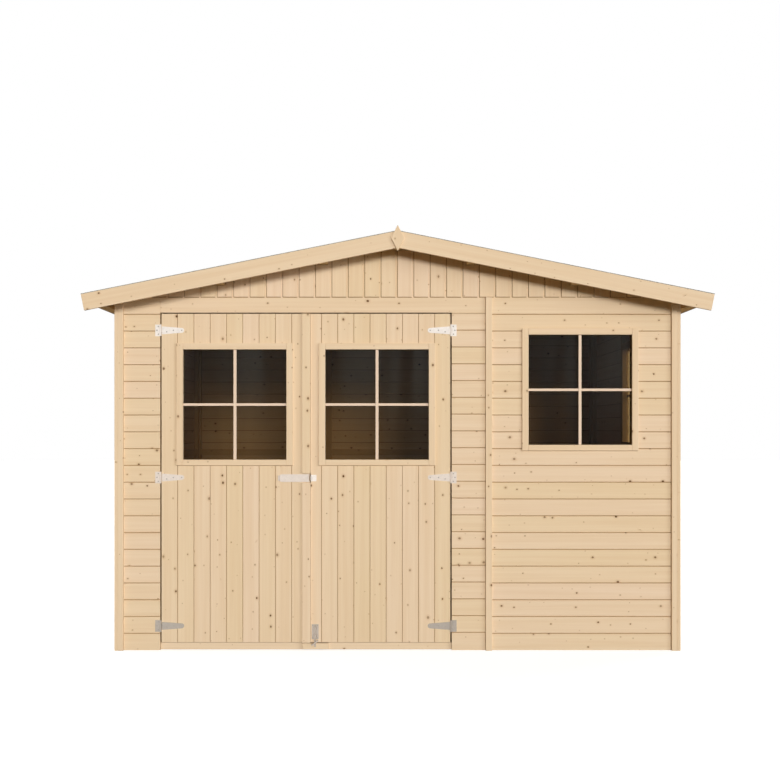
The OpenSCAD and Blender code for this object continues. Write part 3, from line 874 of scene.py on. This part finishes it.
class SHED_OT_leaves(ShedOperator, bpy.types.Operator):
    """Boards both door leaves with upright tongued boards round their windows"""

    bl_idname = "shed.leaves"
    bl_label = "Board the Leaves"

    def execute(self, context):
        sizes = context.scene.shed_boards
        for side, edge, width in (
            ("left", sizes.left_edge, sizes.left_board),
            ("right", sizes.right_edge, sizes.right_board),
        ):
            node = side + "_door_leaf"
            low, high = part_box(node)
            total = high.x - low.x
            widths = [edge]
            while total - sum(widths) > 1.2 * width:
                widths.append(width)
            widths.append(total - sum(widths))
            if side == "right":
                widths.reverse()
            start, end, h_low, h_high = window_hole(side + "_door_casing", low, TO_RIGHT)
            bm = new_mesh()
            board_up(
                bm, side_on(low, UP, TO_RIGHT, BEHIND), high.z - low.z, widths, leaf_outline,
                random.Random(node), [(h_low, h_high, start, end)],
            )
            finish_piece(node + "_boards", bm, planed_spruce(), side + "_door", node)
        return {"FINISHED"}


class SHED_OT_timber(ShedOperator, bpy.types.Operator):
    """Rounds the edges of the trims, casings, fascias, framing and other single timbers"""

    bl_idname = "shed.timber"
    bl_label = "Finish the Timbers"

    def execute(self, context):
        planed, sawn = planed_spruce(), sawn_spruce()
        for node in (
            "face_trims", "side_trims", "front_fascia", "back_fascia", "bolt_block", "door_sill"
        ):
            rounded_copy("planed_" + node, node, "shed", planed)
        for node, body, out in (
            ("front_window_casing", "shed", IN_FRONT), ("side_window_casing", "shed", TO_RIGHT),
            ("left_door_casing", "left_door", IN_FRONT),
            ("right_door_casing", "right_door", IN_FRONT),
        ):
            rounded_copy("planed_" + node, node, body, planed, planes=[drip_plane(node, out)])
        low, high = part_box("meeting_strip")
        arm_low, arm_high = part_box("hasp_arm")
        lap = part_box("right_door_leaf")[0].x - 0.8 * MM
        bm = new_mesh()
        draw = random.Random("strip")
        clear = 5 * MM
        for z, top in ((low.z, arm_low.z - clear), (arm_high.z + clear, high.z)):
            wooden_bar(bm, Matrix.Identity(4), (low.x, low.y, z), (lap, high.y, top), 2, draw)
        finish_piece("planed_meeting_strip", bm, planed, "left_door", "meeting_strip")
        rounded_copy("planed_diamonds", "gable_diamonds", "shed", planed, 2.5 * MM, upright=True)
        for node in (
            "front_framing", "back_framing", "left_framing", "right_framing", "floor_bearers",
            "purlins", "eave_battens",
        ):
            rounded_copy("sawn_" + node, node, "shed", sawn)
        for body in ("left_door", "right_door"):
            rounded_copy(f"sawn_{body}_ledges", body + "_ledges", body, sawn)
        return {"FINISHED"}


class SHED_OT_floor(ShedOperator, bpy.types.Operator):
    """Lays the floor boards across the bearers"""

    bl_idname = "shed.floor"
    bl_label = "Lay the Floor"

    def execute(self, context):
        sizes = context.scene.shed_boards
        low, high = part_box("floor_deck")
        thick = high.z - low.z
        count = round((high.x - low.x) / sizes.course)
        width = (high.x - low.x) / count
        bm = new_mesh()

        def outline(width, first, last):
            return matched(width, thick, sizes.gap, 1.2 * MM, sizes.tongue, first, last)

        board_up(
            bm, side_on(Vector((low.x, low.y, high.z)), BEHIND, TO_RIGHT, -UP), high.y - low.y,
            [width] * count, outline, random.Random("floor"),
        )
        finish_piece("floor_boards", bm, sawn_spruce(), "shed", "floor_deck")
        return {"FINISHED"}


class SHED_OT_roof_boards(ShedOperator, bpy.types.Operator):
    """Lays the roof boards from the ridge to the eaves"""

    bl_idname = "shed.roof_boards"
    bl_label = "Board the Roof"

    def execute(self, context):
        sizes = context.scene.shed_boards
        low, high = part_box("roof_deck")
        pitch = math.atan(roof_slope())
        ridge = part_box("roof_felt")[1].z
        felt_and_seam, thick, ridge_gap = 3.3 * MM, 16 * MM, 0.5 * MM
        depth = felt_and_seam + thick
        count = round((high.y - low.y) / sizes.course)
        width = (high.y - low.y) / count
        bm = new_mesh()
        draw = random.Random("roof")

        def outline(width, first, last):
            return matched(width, thick, sizes.gap, sizes.chamfer, sizes.tongue, first, last)

        for side in (-1, 1):
            down, out = roof_axes(side, pitch)
            corner = Vector((0, low.y, ridge)) - out * depth
            start = depth * math.tan(pitch) + ridge_gap
            length = high.x / math.cos(pitch) - start
            board_up(
                bm, side_on(corner + down * start, down, BEHIND, out),
                length - thick * math.tan(pitch), [width] * count, outline, draw,
            )
        finish_piece("roof_boards", bm, sawn_spruce(), "shed", "roof_deck")
        return {"FINISHED"}


class SHED_OT_felt(ShedOperator, bpy.types.Operator):
    """Laps two more strips over the felt on each side of the ridge and nails their edges"""

    bl_idname = "shed.felt"
    bl_label = "Lay the Felt"

    def execute(self, context):
        felt = mineral_felt()
        recoat("roof_felt", felt)
        low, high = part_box("roof_felt")
        pitch = math.atan(roof_slope())
        slant = high.x / math.cos(pitch)
        sheet, gap = 2.4 * MM, 0.2 * MM
        # Where each strip ends down the slope and its tone, then the places of the nails.
        strips = (0.55 * slant, 0.45), (0.15, -0.4)
        spacing, strip_margin, verge_margin, verge_start = 0.1, 0.02, 0.03, 0.516 * slant
        bm = new_mesh()
        nails = bmesh.new()
        tones = bm.loops.layers.float["board"]
        for side in (-1, 1):
            down, out = roof_axes(side, pitch)
            for layer, (end, strip_tone) in enumerate(strips):
                base = gap + layer * (sheet + gap)
                inset = (22 + 22 * layer) * MM
                corner = Vector((0, low.y + inset, high.z)) + out * base
                length = high.y - low.y - 2 * inset
                for face in felt_strip(bm, corner, down, out, end, length, sheet):
                    for loop in face.loops:
                        loop[tones] = strip_tone
                for y in nail_places(low.y, high.y, spacing):
                    at = corner + down * (end - strip_margin) + out * sheet
                    nail_head(nails, Vector((at.x, y, at.z)), out)
            for y in (low.y + verge_margin, high.y - verge_margin):
                for s in nail_places(verge_start, slant, spacing):
                    nail_head(nails, Vector((0, y, high.z)) + down * s, out)
        round_edges(bm, bm.edges[:], 0.8 * MM)
        finish_piece("felt_laps", bm, felt, "shed")
        finish_piece("felt_nails", nails, dull_zinc(), "shed")
        return {"FINISHED"}


def felt_strip(bm, corner, down, out, width, length, thick):
    """Adds a flat strip of felt that lies down the slope from the ridge."""
    made = bmesh.ops.create_cube(bm, size=1.0)["verts"]
    bmesh.ops.scale(bm, vec=(width, length, thick), verts=made)
    turn = Matrix((down, BEHIND, out)).transposed()
    middle = corner + down * width / 2 + BEHIND * length / 2 + out * thick / 2
    bmesh.ops.transform(bm, matrix=Matrix.Translation(middle) @ turn.to_4x4(), verts=made)
    return {face for vert in made for face in vert.link_faces}


def nail_places(start, end, spacing):
    """Even places between start and end, about spacing apart."""
    count = max(2, round((end - start) / spacing))
    return [start + (end - start) * (i + 0.5) / count for i in range(count)]


def nail_head(bm, at, out):
    """A flat clout nail's head, 9 mm across."""
    made = bmesh.ops.create_cone(
        bm, cap_ends=True, segments=10, radius1=4.5 * MM, radius2=3.4 * MM, depth=1.2 * MM
    )["verts"]
    turn = UP.rotation_difference(out).to_matrix().to_4x4()
    bmesh.ops.transform(bm, matrix=Matrix.Translation(at + out * 0.6 * MM) @ turn, verts=made)


class SHED_OT_windows(ShedOperator, bpy.types.Operator):
    """Glazes the windows and sets their bars"""

    bl_idname = "shed.windows"
    bl_label = "Glaze the Windows"

    def execute(self, context):
        finishes = context.scene.shed_finishes
        for node in ("left_door_pane", "right_door_pane", "wall_window_panes"):
            recoat(node, float_glass())
        for name, casing, body, side_wall in (
            ("left_leaf_bars", "left_door_casing", "left_door", False),
            ("right_leaf_bars", "right_door_casing", "right_door", False),
            ("front_window_bars", "front_window_casing", "shed", False),
            ("side_window_bars", "side_window_casing", "shed", True),
        ):
            low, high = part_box(casing)
            rim, casing_depth = casing_width(), 12 * MM
            along = BEHIND if side_wall else TO_RIGHT
            inward = TO_LEFT if side_wall else BEHIND
            face = high.x - casing_depth if side_wall else low.y + casing_depth
            span = (high - low).dot(along) - 2 * rim
            tall = high.z - low.z - 2 * rim
            corner = low + along * rim + UP * rim
            if side_wall:
                corner.x = face
            else:
                corner.y = face
            place = side_on(corner, along, UP, inward)
            bar, level = finishes.bar_width, finishes.level_bar
            upright_at, level_at, glass_at, clear = -1.0 * MM, 0.6 * MM, 9.6 * MM, 0.4 * MM
            bm = new_mesh()
            draw = random.Random(name)
            # The upright bar runs right through and stands 1.6 mm in front of the level ones.
            wooden_bar(
                bm, place, ((span - bar) / 2, upright_at, clear),
                ((span + bar) / 2, glass_at, tall - clear), 2, draw,
            )
            for start, end in ((clear, (span - bar) / 2), ((span + bar) / 2, span - clear)):
                wooden_bar(
                    bm, place, (start, level_at, (tall - level) / 2),
                    (end, glass_at, (tall + level) / 2), 0, draw,
                )
            finish_piece(name, bm, sapwood_bars(), body)
        return {"FINISHED"}


def wooden_bar(bm, place, low, high, length_axis, draw):
    """A small bar between two local corners, with rounded edges and grain along one local axis."""
    own = new_mesh()
    made = bmesh.ops.create_cube(own, size=1.0)["verts"]
    size = [h - l for l, h in zip(low, high)]
    middle = [(h + l) / 2 for l, h in zip(low, high)]
    bmesh.ops.scale(own, vec=size, verts=made)
    bmesh.ops.translate(own, vec=middle, verts=made)
    round_edges(own, own.edges[:], 1.2 * MM)
    offset, tone = fall_of_log(draw)
    axes = [Vector((1, 0, 0)), Vector((0, 0, 1)), Vector((0, 1, 0))]
    if length_axis == 2:
        axes = [axes[1], axes[0], axes[2]]
    write_grain(own, own.faces, axes, offset, tone)
    bmesh.ops.transform(own, matrix=place, verts=own.verts[:])
    pour(bm, own, "bar")


class SHED_OT_ironwork(ShedOperator, bpy.types.Operator):
    """Gives the hinges, hasp and bolt their zinc and drives their screws"""

    bl_idname = "shed.ironwork"
    bl_label = "Fit the Ironwork"

    def execute(self, context):
        bright, soft, worn, dull = bright_zinc(), soft_zinc(), worn_zinc(), dull_zinc()
        # The zinc is darkest on the low hinges, darker on the middle ones as painted shade, and
        # bright on the high ones.
        low_limit, high_limit = 0.4, 1.4
        for node in ("hinge_plates", "left_door_straps", "right_door_straps"):
            for polygon in recoat(node, dull, soft, bright).polygons:
                height = polygon.center.z
                polygon.material_index = (height > low_limit) + (height > high_limit)
        # The hasp's soft zinc is painted shade, like that of the middle hinges.
        for node, metal in (
            ("hasp_base", soft), ("hasp_arm", soft), ("staple_plate", bright), ("bolt_case", worn),
            ("bolt_rod", worn),
        ):
            recoat(node, metal)
        # The hinges' middles, and their screws as places from the pin, outwards and up.
        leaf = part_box("left_door_leaf")
        low_hinge, middle_hinge, high_hinge = 89 * MM, 893 * MM, 90 * MM
        heights = [leaf[0].z + low_hinge, leaf[0].z + middle_hinge, leaf[1].z - high_hinge]
        pins = {joint["name"]: joint["pos_m"][0] for joint in frame["joints"]}
        plate_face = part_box("front_left_panel")[0].y - 2.5 * MM
        on_plate = [(-13 * MM, 21 * MM), (-21 * MM, 0.0), (-13 * MM, -21 * MM)]
        on_strap = [(32 * MM, -8 * MM), (68 * MM, 0.0), (113 * MM, 0.0)]
        for side, turn in (("left", 1), ("right", -1)):
            pin = pins[side + "_door_hinge"]
            for part, spots, body in (
                ("plate", on_plate, "shed"), ("strap", on_strap, side + "_door")
            ):
                bm = bmesh.new()
                for height in heights:
                    for x, z in spots:
                        screw_head(bm, Vector((pin + turn * x, plate_face, height + z)))
                finish_piece(f"{side}_{part}_screws", bm, dull, body)
        bm = bmesh.new()
        case_low, case_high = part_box("bolt_case")
        bolt_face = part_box("right_door_leaf")[0].y - 2 * MM
        for x in (case_low.x + 5 * MM, case_high.x - 5 * MM):
            for z in (case_low.z + 7 * MM, case_high.z - 7 * MM):
                screw_head(bm, Vector((x, bolt_face, z)), 2.6 * MM)
        finish_piece("bolt_screws", bm, dull, "right_door")
        bm = bmesh.new()
        low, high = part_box("staple_plate")
        for z in (low.z + 7 * MM, high.z - 7 * MM):
            screw_head(bm, Vector((high.x - 7 * MM, plate_face, z)), 3 * MM)
        finish_piece("staple_screws", bm, bright, "right_door")
        return {"FINISHED"}


def screw_head(bm, at, radius=3.6 * MM):
    """A raised countersunk screw head with a sunken drive, facing the front."""
    others = len(bm.verts)
    made = bmesh.ops.create_cone(
        bm, cap_ends=True, segments=12, radius1=radius, radius2=radius * 0.72, depth=0.9 * MM
    )["verts"]
    faces = {f for v in made for f in v.link_faces}
    top = max(faces, key=lambda f: f.calc_center_median().z)
    bmesh.ops.inset_region(bm, faces=[top], thickness=radius * 0.32)
    drive = bmesh.ops.extrude_discrete_faces(bm, faces=[top])["faces"][0]
    bmesh.ops.translate(bm, vec=(0, 0, -0.5 * MM), verts=drive.verts[:])
    turn = UP.rotation_difference(IN_FRONT).to_matrix().to_4x4()
    place = Matrix.Translation(at + IN_FRONT * 0.45 * MM) @ turn
    bmesh.ops.transform(bm, matrix=place, verts=bm.verts[others:])


class SHED_OT_stage(ShedOperator, bpy.types.Operator):
    """Sets the pale floor, the soft lamps and the camera"""

    bl_idname = "shed.stage"
    bl_label = "Set the Stage"

    def execute(self, context):
        stage = context.scene.shed_stage
        scene = context.scene
        scene.view_settings.view_transform = "Standard"
        bm = bmesh.new()
        bmesh.ops.create_circle(bm, cap_ends=True, segments=64, radius=30.0)
        mesh = bpy.data.meshes.new("studio_floor")
        bm.to_mesh(mesh)
        bm.free()
        floor = bpy.data.objects.new("studio_floor", mesh)
        floor.location.z = -0.2 * MM
        scene.collection.objects.link(floor)
        mesh.materials.append(studio_floor())
        for name, azimuth, elevation, angle, strength in (
            ("key_lamp", 8, 7, 12, stage.key), ("side_lamp", 52, 7, 30, stage.front),
            ("left_fill", 240, 30, 60, stage.fill), ("right_fill", 150, 30, 60, stage.fill),
        ):
            lamp = bpy.data.lights.new(name, "SUN")
            lamp.energy = strength
            lamp.angle = math.radians(angle)
            holder = bpy.data.objects.new(name, lamp)
            a, e = math.radians(azimuth), math.radians(elevation)
            towards = Vector((math.sin(a) * math.cos(e), -math.cos(a) * math.cos(e), math.sin(e)))
            # The panes would mirror the lamps as discs.
            holder.visible_glossy = holder.visible_transmission = False
            holder.rotation_euler = towards.to_track_quat("Z", "Y").to_euler()
            scene.collection.objects.link(holder)
        light_room(scene, stage.ambient)
        camera = bpy.data.cameras.new("camera")
        camera.sensor_width = 36.0
        camera.lens = 44.12
        camera.shift_y = 0.0474
        camera.clip_end = 200.0
        holder = bpy.data.objects.new("camera", camera)
        holder.location = (-0.0406, stage.camera_y, 1.2096)
        holder.rotation_euler = (math.radians(90), 0, 0)
        scene.collection.objects.link(holder)
        scene.camera = holder
        return {"FINISHED"}


def background_ray(add):
    """1 for rays that show the background: from the camera, off a mirror or through glass."""
    rays = add("LightPath")
    seen = add(
        "Math", {0: rays.outputs["Is Camera Ray"], 1: rays.outputs["Is Glossy Ray"]},
        operation="MAXIMUM",
    )
    return add(
        "Math", {0: seen, 1: rays.outputs["Is Transmission Ray"]}, operation="MAXIMUM"
    ).outputs[0]


def studio_floor():
    """Matt white paper: white with the shed's shadow where it is seen, and dim to the light."""
    material, add = new_material("studio_paper")
    dim = add("BsdfDiffuse", {"Color": linear("#57503F")})
    shadowed = add("BsdfDiffuse", {"Color": linear("#C8C8C8")})
    glow = add("Emission", {"Strength": 0.78})
    white = add("AddShader", {0: shadowed, 1: glow})
    paper = add("MixShader", {0: background_ray(add), 1: dim, 2: white})
    add("OutputMaterial", {"Surface": paper})
    return material


def light_room(scene, ambient):
    """A white room that lights the shed plainly and shows as white."""
    world = bpy.data.worlds.new("studio_room")
    scene.world = world
    add = emptied(world)
    soft = add("Background", {"Color": linear("#F7DAA4"), "Strength": ambient})
    white = add("Background", {"Color": linear("#FFFFFF"), "Strength": 1.0})
    room = add("MixShader", {0: background_ray(add), 1: soft, 2: white})
    add("OutputWorld", {"Surface": room})


STEPS = (
    SHED_OT_front_wall, SHED_OT_other_walls, SHED_OT_gables, SHED_OT_leaves, SHED_OT_timber,
    SHED_OT_floor, SHED_OT_roof_boards, SHED_OT_felt, SHED_OT_windows, SHED_OT_ironwork,
    SHED_OT_stage,
)


class SHED_PT_panel(bpy.types.Panel):
    """Lists the steps of the shed"""

    bl_idname = "SHED_PT_panel"
    bl_label = "Garden Shed"
    bl_space_type = "VIEW_3D"
    bl_region_type = "UI"
    bl_category = "Shed"

    def draw(self, context):
        for step in STEPS:
            self.layout.operator(step.bl_idname)
        for group in GROUPS:
            box = self.layout.box()
            settings = getattr(context.scene, group)
            for name in settings.bl_rna.properties.keys():
                if name not in ("rna_type", "name"):
                    box.prop(settings, name)


def register():
    for group in GROUPS.values():
        bpy.utils.register_class(group)
    for name, group in GROUPS.items():
        setattr(bpy.types.Scene, name, bpy.props.PointerProperty(type=group))
    for step in STEPS:
        bpy.utils.register_class(step)
    bpy.utils.register_class(SHED_PT_panel)


def unregister():
    bpy.utils.unregister_class(SHED_PT_panel)
    for step in reversed(STEPS):
        bpy.utils.unregister_class(step)
    for name in GROUPS:
        delattr(bpy.types.Scene, name)
    for group in reversed(GROUPS.values()):
        bpy.utils.unregister_class(group)


def main():
    register()
    bpy.ops.shed.front_wall()
    bpy.ops.shed.other_walls()
    bpy.ops.shed.gables()
    bpy.ops.shed.leaves()
    bpy.ops.shed.timber()
    bpy.ops.shed.floor()
    bpy.ops.shed.roof_boards()
    bpy.ops.shed.felt()
    bpy.ops.shed.windows()
    bpy.ops.shed.ironwork()
    bpy.ops.shed.stage()


if __name__ == "__main__":
    main()
